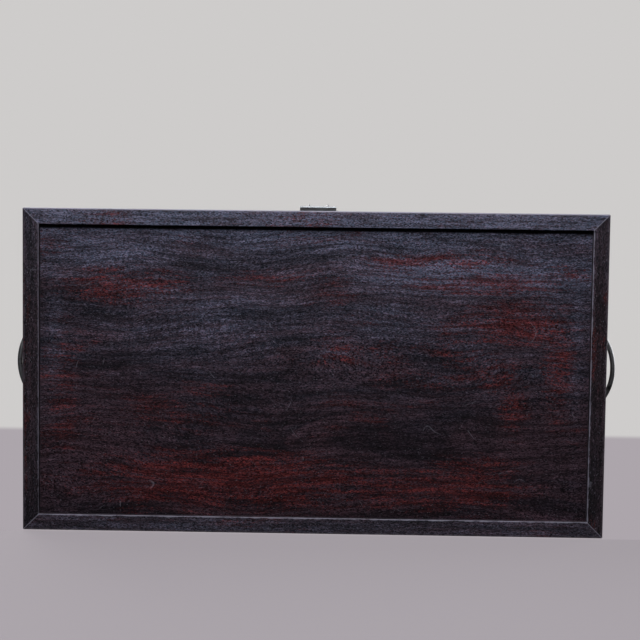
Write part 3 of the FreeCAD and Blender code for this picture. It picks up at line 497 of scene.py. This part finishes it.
def finishWood(name, changes):
    values = plainWood | changes
    material, tree, shader, place = newMaterial(name)
    _, y, z = parts(tree, place)
    grain = moved(tree, place, values["seed"], values["turn"])
    archX, archY, archWidth = values["arch"]
    figure = useGroup(tree, figureGroup, {
        "Vector": grain, "Tilt": values["tilt"], "Arch X": archX, "Arch Y": archY, "Arch Width": archWidth,
        "Waviness": values["waviness"], "Band Width": values["band"]})
    fibres = useGroup(tree, fibreGroup, {
        "Vector": grain, "Across": figure["Level"], "Dusty Share": values["dusty"]})
    # Broad red places, broken up into streaks and single fibres
    redness = vectorCalc(tree, "MULTIPLY", grain, woodValues["redStretch"])
    redness = noise(tree, redness, **woodValues["redNoise"])
    redness = ease(tree, redness, *woodValues["redRange"], 0.0, values["redness"])
    redness = spots(tree, place, values["reds"], woodValues["redSpotRim"], redness)
    broken = vary(tree, redness, figure["Flecks"], woodValues["redFlecks"])
    broken = vary(tree, broken, fibres["Chance"], woodValues["redFibres"])
    redness = times(tree, ease(tree, broken, *woodValues["redCut"]),
                    ease(tree, redness, 0.0, woodValues["redFade"]))
    bands = between(tree, figure["Bands"], *woodValues["bandShare"])
    colour = mixColour(tree, bands, woodValues["dark"], woodValues["brown"])
    colour = mixColour(tree, redness, colour, woodValues["red"])
    # Bluish bloom in clouds, and bloom with painted sheen in the places given for the piece
    bloomAndSheen = vectorCalc(tree, "ADD", grain, woodValues["bloomShift"])
    bloomAndSheen = vectorCalc(tree, "MULTIPLY", bloomAndSheen, woodValues["bloomStretch"])
    bloomAndSheen = ease(tree, noise(tree, bloomAndSheen, **woodValues["bloomNoise"]), *woodValues["bloomRange"])
    hazeAndSheen = spots(tree, place, values["hazeAndSheenSpots"], woodValues["bloomAndSheenSpotRim"])
    bloomAndSheen = calc(tree, "MULTIPLY_ADD", hazeAndSheen, woodValues["bloomAndSheenSpots"], bloomAndSheen)
    # The underside is hazy and dry, partly with painted sheen, and every other face is waxed
    top = values["undersideTop"]
    underside = ease(tree, z, top + woodValues["undersideBlur"], top)
    bloomAndSheen = times(tree, bloomAndSheen, between(tree, underside, woodValues["bloomWaxed"], 1.0))
    bloomAndSheen = calc(tree, "MULTIPLY_ADD", underside, values["undersideHazeAndSheen"], bloomAndSheen)
    # Painted falloff of light: more bloom towards the front of the piece
    if values["paintedFalloffAcross"]:
        full, least, left = values["paintedFalloffAcross"]
        bloomAndSheen = times(tree, bloomAndSheen, ease(tree, y, full, least, 1.0, left))
    bloomAndSheen = times(tree, bloomAndSheen, values["haze"])
    bloomAndSheen = times(tree, bloomAndSheen, between(tree, fibres["Chance"], *woodValues["bloomFibres"]))
    bloomAndSheen = times(tree, bloomAndSheen, between(tree, figure["Flecks"], *woodValues["bloomFlecks"]))
    bloomAndSheen = times(tree, bloomAndSheen, between(tree, redness, 1.0, woodValues["bloomOnRed"]), clamp=True)
    mauve = times(tree, fibres["Tone"], woodValues["mauveShare"])
    colour = mixColour(tree, bloomAndSheen, colour, mixColour(tree, mauve, woodValues["haze"], woodValues["mauve"]))
    # The tone of each fibre, fine streak and vein, then open pores and dust in the pores
    tone = between(tree, fibres["Tone"], *woodValues["fibreTone"])
    tone = times(tree, tone, between(tree, figure["Streaks"], *woodValues["streakTone"]))
    tone = times(tree, tone, between(tree, figure["Veins"], *woodValues["veinTone"]))
    evened = times(tree, bloomAndSheen, woodValues["bloomEvens"])
    tone = calc(tree, "MULTIPLY_ADD", evened, calc(tree, "SUBTRACT", woodValues["bloomTone"], tone), tone)
    colour = vectorCalc(tree, "SCALE", colour, scale=times(tree, tone, values["shade"]))
    pores = times(tree, fibres["Open"], woodValues["poreShare"])
    colour = mixColour(tree, pores, colour, woodValues["pore"])
    colour = mixColour(tree, times(tree, fibres["Dusty"], values["dust"]), colour, woodValues["dust"])
    # Painted shadow of the front rail on the board, in the colour of the pores
    if values["rimShadow"]:
        rail, reach = values["rimShadow"]
        core = rail + reach * woodValues["rimShadowCore"]
        rimShadowMask = ease(tree, y, rail + reach, core, 0.0, woodValues["rimShadowShare"])
        colour = mixColour(tree, rimShadowMask, colour, woodValues["pore"])
    # Worn arrises, painted highlights on the ledges and the foot, pale mitres, hair scratches
    edges = useGroup(tree, edgeGroup, {"Vector": place})
    colour = mixColour(tree, times(tree, edges["Wear"], woodValues["wearShare"]), colour, woodValues["worn"])
    paintedHighlights = calc(tree, "MAXIMUM", times(tree, edges["Ledge"], values["ledge"]),
                times(tree, edges["Foot"], values["foot"]))
    marks = useGroup(tree, scratchGroup, {"Vector": place, "Amount": woodValues["scratchAmount"]})["Marks"]
    for share in (paintedHighlights, times(tree, edges["Mitre"], woodValues["mitreShare"]),
                  times(tree, marks, woodValues["scratchShare"])):
        colour = mixColour(tree, share, colour, woodValues["dust"])
    feed(tree, shader.inputs["Base Color"], colour)
    rough = between(tree, underside, woodValues["waxedRoughness"], woodValues["dryRoughness"])
    rough = calc(tree, "MULTIPLY_ADD", pores, woodValues["poreRoughness"], rough)
    rough = vary(tree, rough, fibres["Tone"], woodValues["fibreRoughness"])
    rough = calc(tree, "MULTIPLY_ADD", edges["Wear"], woodValues["wornRoughness"], rough)
    feed(tree, shader.inputs["Roughness"], rough)
    height = times(tree, figure["Streaks"], woodValues["streakHeight"])
    height = calc(tree, "SUBTRACT", height, pores)
    addRelief(tree, shader, height, woodValues["bumpDepth"], woodValues["bumpStrength"])
    shader.inputs["Specular IOR Level"].default_value = values["sheen"]
    return material


def dress(nodeName, material):
    for slot in nodes[nodeName].material_slots:
        slot.material = material


woodPieces = {
    "bottom_board": {"arch": (-0.018, 0.040, 0.0078), "waviness": 0.04, "band": 0.013, "redness": 0.55,
                     "reds": boardReds, "haze": 0.28, "hazeAndSheenSpots": boardHazeAndSheen, "paintedFalloffAcross": (-0.09, 0.05, 0.1),
                     "undersideTop": 6 * mm, "dusty": 0.03, "sheen": 0.12,
                     "rimShadow": (wallThickness - halfDepth, 2.8 * mm)},
    "front_wall": {"seed": (0.4, 0, 0), "tilt": 1.0, "redness": 0.6, "haze": 0.17, "undersideHazeAndSheen": 2.6,
                   "dust": 0.35, "foot": 0.75},
    "back_wall": {"seed": (0.9, 0, 0.1), "tilt": 1.1, "haze": 0.17, "undersideHazeAndSheen": 0.3, "ledge": 0.9},
    "left_wall": {"turn": -90, "seed": (0.2, 0.3, 0), "tilt": 1.2, "shade": 0.72, "redness": 0.8,
                  "haze": 0.08, "paintedFalloffAcross": (-0.1, -0.03, 0.3), "undersideHazeAndSheen": 1.0, "dust": 0.35,
                  "ledge": 0.4},
    "right_wall": {"turn": -90, "seed": (0.7, 0.1, 0), "tilt": 1.0, "shade": 0.62, "redness": 0.8,
                   "haze": 0.08, "paintedFalloffAcross": (-0.1, -0.03, 0.2), "undersideHazeAndSheen": 1.0, "dust": 0.35,
                   "ledge": 0.8},
    "lid_front_wall": {"seed": (1.4, 0, 0.2), "tilt": 1.0, "haze": 0.15},
    "lid_back_wall": {"seed": (1.9, 0, 0.3), "tilt": 1.1, "redness": 0.3, "haze": 0.15},
    "lid_left_wall": {"turn": -90, "seed": (1.2, 0.4, 0.1), "tilt": 1.2, "shade": 0.85, "redness": 0.4,
                      "haze": 0.12},
    "lid_right_wall": {"turn": -90, "seed": (1.7, 0.2, 0.1), "tilt": 1.0, "shade": 0.8, "redness": 0.3,
                       "haze": 0.12},
    "lid_top_board": {"seed": (0.1, 0.02, 0), "arch": (0.14, 0.015, 0.006), "waviness": 0.012,
                      "band": 0.012, "redness": 0.6, "haze": 0.22},
    "lip_front": {"seed": (2.4, 0, 0), "tilt": 1.0, "redness": 0.3, "haze": 0.08},
    "lip_left": {"turn": -90, "seed": (2.1, 0.5, 0), "tilt": 1.0, "redness": 0.3, "haze": 0.08},
    "lip_right": {"turn": -90, "seed": (2.6, 0.6, 0), "tilt": 1.0, "redness": 0.3, "haze": 0.08},
}
for nodeName, changes in woodPieces.items():
    dress(nodeName, finishWood(nodeName + "Wood", changes))
print("wood finished,", len(woodPieces), "pieces")

# Aged white metal

metalValues = {
    "bright": paint(158, 157, 158),
    "dull": paint(84, 79, 76),
    "black": paint(24, 21, 20),
    "rubbedAndHighlight": paint(176, 178, 181),  # rubbed where fingertips lift the flap, and pale as a painted highlight
    "seedShift": (1.0, 0.7, 0.0),   # way the pattern moves with the seed, m
    "stainNoise": {"detail": 7, "roughness": 0.68, "scale": 120},
    "fineNoise": {"detail": 4, "roughness": 0.6, "scale": 700},
    "dullRange": (0.55, 0.85),      # where dull starts and where it is full; tarnish lowers both
    "tarnishShift": 0.3,
    "blackFine": 0.5,               # how far fine noise breaks the black stains up
    "blackRange": (0.82, 1.0),      # where black starts and where it is full
    "rubbedAndHighlightBlur": 1.0 * mm,
    "scratches": {"Scale": 120.0, "Thickness": 0.012, "Amount": 0.55},
    "scratchShare": 0.6,
    "blackMetallic": 0.5,
    "rubbedAndHighlightMetallic": 0.5,
    "brightRoughness": 0.4,
    "dullRoughness": 0.6,
    "fineRoughness": 0.1,
    "dentNoise": {"detail": 2, "roughness": 0.5, "scale": 240},
    "dentHeight": 0.8,
    "blackHeight": -0.6,
    "bumpDepth": 0.12 * mm,
    "bumpStrength": 0.5,
}


def finishMetal(name, tarnish, seed, rubbedAndHighlightBelow=None):
    material, tree, shader, place = newMaterial(name)
    grain = moved(tree, place, [seed * way for way in metalValues["seedShift"]])
    stains = noise(tree, grain, **metalValues["stainNoise"])
    fine = noise(tree, grain, **metalValues["fineNoise"])
    lowered = tarnish * metalValues["tarnishShift"]
    dull = ease(tree, stains, *[limit - lowered for limit in metalValues["dullRange"]])
    black = calc(tree, "MULTIPLY_ADD", fine, metalValues["blackFine"], stains)
    black = ease(tree, black, *metalValues["blackRange"])
    if rubbedAndHighlightBelow is not None:  # the height below which the piece is rubbed bright and pale as a painted highlight
        blur = metalValues["rubbedAndHighlightBlur"]
        awayFromRubAndHighlight = ease(tree, parts(tree, place)[2], rubbedAndHighlightBelow - blur, rubbedAndHighlightBelow + blur)
        dull = times(tree, dull, awayFromRubAndHighlight)
        black = times(tree, black, awayFromRubAndHighlight)
    colour = mixColour(tree, dull, metalValues["bright"], metalValues["dull"])
    colour = mixColour(tree, black, colour, metalValues["black"])
    marks = useGroup(tree, scratchGroup, {"Vector": grain, **metalValues["scratches"]})["Marks"]
    colour = mixColour(tree, times(tree, marks, metalValues["scratchShare"]), colour, metalValues["bright"])
    metallic = between(tree, black, 1.0, metalValues["blackMetallic"])
    if rubbedAndHighlightBelow is not None:
        colour = mixColour(tree, awayFromRubAndHighlight, metalValues["rubbedAndHighlight"], colour)
        metallic = times(tree, metallic, between(tree, awayFromRubAndHighlight, metalValues["rubbedAndHighlightMetallic"], 1.0))
    feed(tree, shader.inputs["Base Color"], colour)
    feed(tree, shader.inputs["Metallic"], metallic)
    rough = between(tree, dull, metalValues["brightRoughness"], metalValues["dullRoughness"])
    rough = calc(tree, "MULTIPLY_ADD", fine, metalValues["fineRoughness"], rough)
    feed(tree, shader.inputs["Roughness"], rough)
    dents = noise(tree, grain, **metalValues["dentNoise"])
    height = calc(tree, "MULTIPLY_ADD", dents, metalValues["dentHeight"],
                  times(tree, black, metalValues["blackHeight"]))
    addRelief(tree, shader, height, metalValues["bumpDepth"], metalValues["bumpStrength"])
    return material


sides = ("left", "right")
metalPieces = {
    "plateMetal": {"tarnish": 0.95, "seed": 0.0, "pieces": ["lock_plate_lower", "lock_plate_upper"]},
    "flapMetal": {"tarnish": 0.3, "seed": 1.0, "rubbedAndHighlightBelow": flapLow + 3 * mm,
                  "pieces": ["hasp_flap", "flap_pin"]},
    "wireMetal": {"tarnish": 0.3, "seed": 2.0, "pieces": ["lock_staples", "bail_left", "bail_right"]},
    "hingeMetal": {"tarnish": 0.6, "seed": 3.0,
                   "pieces": [f"hinge_{side}_{part}" for side in sides
                              for part in ("body_leaf", "lid_leaf", "pin")]},
    "nailMetal": {"tarnish": 0.45, "seed": 4.0,
                  "pieces": ["lock_nails_lower", "lock_nails_upper", "hinge_nails_body", "hinge_nails_lid"]
                  + [f"{part}_{side}_{end}" for part in ("eye_post", "rosette") for side in sides
                     for end in ("front", "back")]},
}
metals = {}
for name, values in metalPieces.items():
    metals[name] = finishMetal(name, values["tarnish"], values["seed"], values.get("rubbedAndHighlightBelow"))
    for nodeName in values["pieces"]:
        dress(nodeName, metals[name])
print("metal finished,", sum(len(values["pieces"]) for values in metalPieces.values()), "pieces")

# Hand-made nails, by geometry nodes

nailValues = {
    "headRadius": 1.6 * mm,
    "headHeight": 0.9 * mm,
    "crown": 0.2,             # flat top of the cone that the head is bent from, as a share of its radius
    "headSides": 16,
    "headRings": 5,
    "crownRings": 2,
    "foot": 0.01 * mm,        # only points above it are bent, so that the foot of the head stays flat
    "hammering": 0.14 * mm,
    "dentNoise": {"detail": 0, "roughness": 0.5, "scale": 900},
    "dentLevel": 0.55,        # noise above it swells the head, and below it dents the head
    "dentGain": 4.0,
    "shankRadius": 0.6 * mm,
    "shankLength": 5.5 * mm,
    "shankSides": 8,
    "seed": 7,
    # (across, distance from the seam) in mm
    "lowerLock": [(-20.5, 6.5), (20.5, 6.5), (-13.0, 20.0), (13.0, 20.0)],
    "upperLock": [(-22.0, 6.5), (22.0, 6.5), (-15.5, 18.0), (15.5, 18.0)],
    "leaf": [(-11.5, 9.5), (11.5, 9.5), (0.0, 18.0)],
    "hingePlace": 105.0,
}


def makeNailTree():
    tree, given, result = newGroup("handMadeNails", {
        "Geometry": ("NodeSocketGeometry", None),
        "Head Radius": (numberSocket, nailValues["headRadius"]),
        "Head Height": (numberSocket, nailValues["headHeight"]),
        "Hammering": (numberSocket, nailValues["hammering"]),
        "Shank Radius": (numberSocket, nailValues["shankRadius"]),
        "Shank Length": (numberSocket, nailValues["shankLength"]),
        "Seed": ("NodeSocketInt", nailValues["seed"]),
        "Material": ("NodeSocketMaterial", None),
    }, {"Geometry": "NodeSocketGeometry"}, "GeometryNodeTree")
    head = addNode(tree, "GeometryNodeMeshCone", fill_type="NGON")
    for label, value in (("Vertices", nailValues["headSides"]), ("Side Segments", nailValues["headRings"]),
                         ("Fill Segments", nailValues["crownRings"]), ("Depth", given["Head Height"]),
                         ("Radius Bottom", given["Head Radius"]),
                         ("Radius Top", times(tree, given["Head Radius"], nailValues["crown"]))):
        feed(tree, head.inputs[label], value)
    # Bend the cone's sides into a dome
    place = addNode(tree, "GeometryNodeInputPosition").outputs[0]
    x, y, z = parts(tree, place)
    out = vectorCalc(tree, "LENGTH", together(tree, x, y, 0.0))
    share = calc(tree, "DIVIDE", out, given["Head Radius"])
    rise = calc(tree, "SQRT", calc(tree, "SUBTRACT", 1.0, times(tree, share, share), clamp=True))
    dome = addNode(tree, "GeometryNodeSetPosition")
    feed(tree, dome.inputs["Geometry"], head.outputs["Mesh"])
    feed(tree, dome.inputs["Selection"], calc(tree, "GREATER_THAN", z, nailValues["foot"]))
    feed(tree, dome.inputs["Position"], together(tree, x, y, times(tree, rise, given["Head Height"])))
    shank = addNode(tree, "GeometryNodeMeshCylinder")
    for label, value in (("Vertices", nailValues["shankSides"]), ("Radius", given["Shank Radius"]),
                         ("Depth", given["Shank Length"])):
        feed(tree, shank.inputs[label], value)
    sunk = addNode(tree, "GeometryNodeTransform")
    feed(tree, sunk.inputs["Geometry"], shank.outputs["Mesh"])
    below = times(tree, given["Shank Length"], -0.5)
    feed(tree, sunk.inputs["Translation"], together(tree, 0.0, 0.0, below))
    nail = addNode(tree, "GeometryNodeJoinGeometry")
    tree.links.new(dome.outputs[0], nail.inputs[0])
    tree.links.new(sunk.outputs[0], nail.inputs[0])
    # Heads point away from the box: forwards on the front, backwards on the back
    points = addNode(tree, "GeometryNodeMeshToPoints")
    feed(tree, points.inputs["Mesh"], given["Geometry"])
    facing = calc(tree, "SIGN", parts(tree, place)[1])
    placed = addNode(tree, "GeometryNodeInstanceOnPoints")
    feed(tree, placed.inputs["Points"], points.outputs[0])
    feed(tree, placed.inputs["Instance"], nail.outputs[0])
    feed(tree, placed.inputs["Rotation"], together(tree, times(tree, facing, -math.pi / 2), 0.0, 0.0))
    chance = addNode(tree, "FunctionNodeRandomValue", data_type="FLOAT")
    feed(tree, chance.inputs[3], math.tau)  # the highest number that it gives
    feed(tree, chance.inputs["Seed"], given["Seed"])
    spun = addNode(tree, "GeometryNodeRotateInstances")
    feed(tree, spun.inputs["Instances"], placed.outputs[0])
    feed(tree, spun.inputs["Rotation"], together(tree, 0.0, 0.0, chance.outputs[1]))
    real = addNode(tree, "GeometryNodeRealizeInstances")
    feed(tree, real.inputs[0], spun.outputs[0])
    # Flat hammer marks
    dents = noise(tree, place, **nailValues["dentNoise"])
    dents = calc(tree, "SUBTRACT", dents, nailValues["dentLevel"])
    dents = times(tree, dents, times(tree, given["Hammering"], nailValues["dentGain"]))
    outwards = addNode(tree, "GeometryNodeInputNormal").outputs[0]
    beaten = addNode(tree, "GeometryNodeSetPosition")
    feed(tree, beaten.inputs["Geometry"], real.outputs[0])
    feed(tree, beaten.inputs["Offset"], vectorCalc(tree, "SCALE", outwards, scale=dents))
    finish = addNode(tree, "GeometryNodeSetMaterial")
    feed(tree, finish.inputs["Geometry"], beaten.outputs[0])
    feed(tree, finish.inputs["Material"], given["Material"])
    feed(tree, result["Geometry"], finish.outputs[0])
    return tree


nailTree = makeNailTree()


def makeNails(name, body, places, hidden):
    points = bpy.data.meshes.new(name + "Places")
    points.from_pydata([tuple(place) for place in places], [], [])
    holder = addObject(name + "Holder", points)
    modifier = holder.modifiers.new("nails", "NODES")
    modifier.node_group = nailTree
    chosen = {"Head Radius": nailValues["headRadius"], "Head Height": nailValues["headHeight"],
              "Hammering": nailValues["hammering"], "Shank Radius": nailValues["shankRadius"],
              "Shank Length": nailValues["shankLength"], "Seed": nailValues["seed"],
              "Material": metals["nailMetal"]}
    for socket in nailTree.interface.items_tree:
        if socket.item_type == "SOCKET" and socket.in_out == "INPUT" and socket.name in chosen:
            modifier[socket.identifier] = chosen[socket.name]
    seen = holder.evaluated_get(bpy.context.evaluated_depsgraph_get())
    mesh = bpy.data.meshes.new_from_object(seen)
    mesh.name = name
    bpy.data.objects.remove(holder)
    piece = addObject(name, mesh)
    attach(piece, body)
    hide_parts(*hidden)


leafFace = leafNailTop - nailValues["headHeight"]
caseNails = [Vector((x * mm, -plateFace, rimHeight - down * mm)) for x, down in nailValues["lowerLock"]]
lidNails = [Vector((x * mm, -plateFace, lidLow + up * mm)) for x, up in nailValues["upperLock"]]
for side in (-1, 1):
    for x, off in nailValues["leaf"]:
        place = (nailValues["hingePlace"] * side + x) * mm
        caseNails.append(Vector((place, leafFace, rimHeight - off * mm)))
        lidNails.append(Vector((place, leafFace, lidLow + off * mm)))
makeNails("case_nails", "case", caseNails, ["lock_nails_lower", "hinge_nails_body"])
makeNails("lid_nails", "lid", lidNails, ["lock_nails_upper", "hinge_nails_lid"])
print("nails made,", len(caseNails) + len(lidNails))

# Floor, table face and pale surround

stageValues = {
    "floor": paint(182, 180, 179),
    "floorDrop": 0.3 * mm,
    "floorFade": (0.45, 1.7),       # distances where the floor starts to fade and where it is gone, m
    "table": paint(141, 135, 137),
    "farTable": paint(172, 165, 171),
    "tableEven": 0.8,               # share of the table that the lamps don't shade
    "tableEdge": 0.148,             # slope at which the table ends behind the box, seen from below
    "tableBlur": 0.002,
    "tableSteep": 0.8,              # rise of a look from below that can meet the table
    "tableLeast": 0.001,            # keeps the slope of a level look finite
    "surround": paint(206, 204, 203),
    "surroundLight": (0.02, 0.021, 0.025, 1.0),
    "size": 6.0,                    # half the floor's side, m
    "weave": paint(90, 86, 86),
    "weaveNoise": {"detail": 3, "roughness": 0.6, "scale": 900},
    "weaveRange": (0.2, 0.8, 0.0, 0.12),
    "roughness": 0.95,
    "sheen": 0.1,
}


def plane(name, corners, material):
    mesh = bpy.data.meshes.new(name)
    mesh.from_pydata(corners, [], [(0, 1, 2, 3)])
    item = addObject(name, mesh)
    item.data.materials.append(material)
    return item


def plainFinish(name, colour):
    material, tree, shader, place = newMaterial(name)
    weave = noise(tree, place, **stageValues["weaveNoise"])
    weave = ease(tree, weave, *stageValues["weaveRange"])
    feed(tree, shader.inputs["Base Color"], mixColour(tree, weave, colour, stageValues["weave"]))
    shader.inputs["Roughness"].default_value = stageValues["roughness"]
    shader.inputs["Specular IOR Level"].default_value = stageValues["sheen"]
    return material, tree, shader.outputs[0], place


def glowing(tree, kind, colour):
    made = addNode(tree, kind)
    made.inputs["Color"].default_value = colour
    return made.outputs[0]


def makeFloor():
    # It fades into the surround far off, and is clear from below so that the underside can be looked at
    material, tree, lit, place = plainFinish("floorFinish", stageValues["floor"])
    away = ease(tree, vectorCalc(tree, "LENGTH", place), *stageValues["floorFade"])
    melted = mixShaders(tree, away, lit, glowing(tree, "ShaderNodeEmission", stageValues["surround"]))
    fromBelow = addNode(tree, "ShaderNodeNewGeometry").outputs["Backfacing"]
    shown = mixShaders(tree, fromBelow, melted, addNode(tree, "ShaderNodeBsdfTransparent").outputs[0])
    feed(tree, tree.nodes["Material Output"].inputs["Surface"], shown)
    far = stageValues["size"]
    low = -stageValues["floorDrop"]
    floor = plane("floor", [(-far, -far, low), (far, -far, low), (far, far, low), (-far, far, low)], material)
    floor.visible_shadow = False
    floor.visible_diffuse = False
    floor.visible_glossy = False
    floor.visible_transmission = False


def makeTable():
    # The face that the box's back rests on in the photograph lies below the floor
    material, tree, lit, _ = plainFinish("tableFinish", stageValues["table"])
    even = glowing(tree, "ShaderNodeEmission", stageValues["farTable"])
    shown = mixShaders(tree, stageValues["tableEven"], lit, even)
    feed(tree, tree.nodes["Material Output"].inputs["Surface"], shown)
    far = stageValues["size"]
    low = -2 * stageValues["floorDrop"]
    face = halfDepth + stageValues["floorDrop"]
    table = plane("table_face", [(-far, face, low), (far, face, low), (far, face, -far), (-far, face, -far)],
                  material)
    table.visible_diffuse = False
    table.visible_glossy = False


def makeSurround():
    world = bpy.data.worlds.new("surround")
    bpy.context.scene.world = world
    world.use_nodes = True
    tree = world.node_tree
    # Looking up from below, the table reaches a little way behind the box
    _, backwards, upwards = parts(tree, addNode(tree, "ShaderNodeTexCoord").outputs["Generated"])
    slope = calc(tree, "DIVIDE", backwards, calc(tree, "MAXIMUM", upwards, stageValues["tableLeast"]))
    edge = stageValues["tableEdge"]
    blur = stageValues["tableBlur"]
    onTable = times(tree, ease(tree, slope, edge - blur, edge + blur),
                    calc(tree, "GREATER_THAN", upwards, stageValues["tableSteep"]))
    seen = tree.nodes["Background"]
    colour = mixColour(tree, onTable, stageValues["surround"], stageValues["farTable"])
    feed(tree, seen.inputs["Color"], colour)
    glow = glowing(tree, "ShaderNodeBackground", stageValues["surroundLight"])
    isCamera = addNode(tree, "ShaderNodeLightPath").outputs["Is Camera Ray"]
    shown = mixShaders(tree, isCamera, glow, seen.outputs[0])
    feed(tree, tree.nodes["World Output"].inputs["Surface"], shown)


makeFloor()
makeTable()
makeSurround()

# Soft square lamps: name, place and aim in m, side in m, power in W, colour
lamps = [
    ("underKey", (-0.08, -0.62, -0.8), (0.0, -0.02, 0.0), 0.4, 4.6, (0.90, 0.95, 1.0)),
    ("underWindow", (0.05, -0.85, -0.32), (0.0, -0.1, 0.05), 0.35, 4.0, (0.90, 0.95, 1.0)),
    ("underFill", (0.5, 0.1, -1.4), (0.0, 0.0, 0.0), 1.2, 0.3, (1.0, 0.97, 0.93)),
    ("frontWindow", (-0.7, -1.4, 0.7), (0.0, 0.0, 0.05), 1.0, 25.0, (0.93, 0.96, 1.0)),
    ("overKey", (-0.9, -0.6, 1.6), (0.0, 0.0, 0.05), 1.0, 28.0, (1.0, 0.98, 0.95)),
    ("overFill", (1.5, -0.4, 0.9), (0.0, 0.0, 0.05), 1.3, 22.0, (0.96, 0.98, 1.0)),
    ("backSoft", (-0.5, 1.5, 0.7), (0.0, 0.0, 0.05), 1.8, 26.0, (1.0, 0.98, 0.96)),
]
for name, place, aim, side, power, tint in lamps:
    lamp = bpy.data.lights.new(name, "AREA")
    lamp.shape = "SQUARE"
    lamp.size = side
    lamp.energy = power
    lamp.color = tint
    item = addObject(name, lamp)
    item.location = place
    item.rotation_euler = (Vector(aim) - Vector(place)).to_track_quat("-Z", "Y").to_euler()
print("stage set,", len(lamps), "lamps")

# Camera below the box, looking up at its underside as the photograph does

cameraValues = {
    "place": (15.2 * mm, -84.5 * mm, -817.6 * mm),
    "pitch": 3.59,    # degrees, as are yaw and roll
    "yaw": 0.82,
    "roll": 0.77,
    "lens": 75.0,     # mm, as is the sensor's width
    "sensor": 36.0,
    "nearest": 0.01,  # m
}
turn = (Matrix.Rotation(math.radians(cameraValues["roll"]), 3, "Z")
        @ Matrix.Rotation(math.radians(cameraValues["yaw"]), 3, "Y")
        @ Matrix.Rotation(math.radians(cameraValues["pitch"]), 3, "X"))
upsideDown = Matrix(((1, 0, 0), (0, -1, 0), (0, 0, -1)))
cameraData = bpy.data.cameras.new("camera")
cameraData.lens = cameraValues["lens"]
cameraData.sensor_width = cameraValues["sensor"]
cameraData.clip_start = cameraValues["nearest"]
camera = addObject("camera", cameraData)
camera.matrix_world = Matrix.Translation(cameraValues["place"]) @ (upsideDown @ turn).transposed().to_4x4()
bpy.context.scene.camera = camera
bpy.context.scene.view_settings.view_transform = "Standard"
print("camera set")
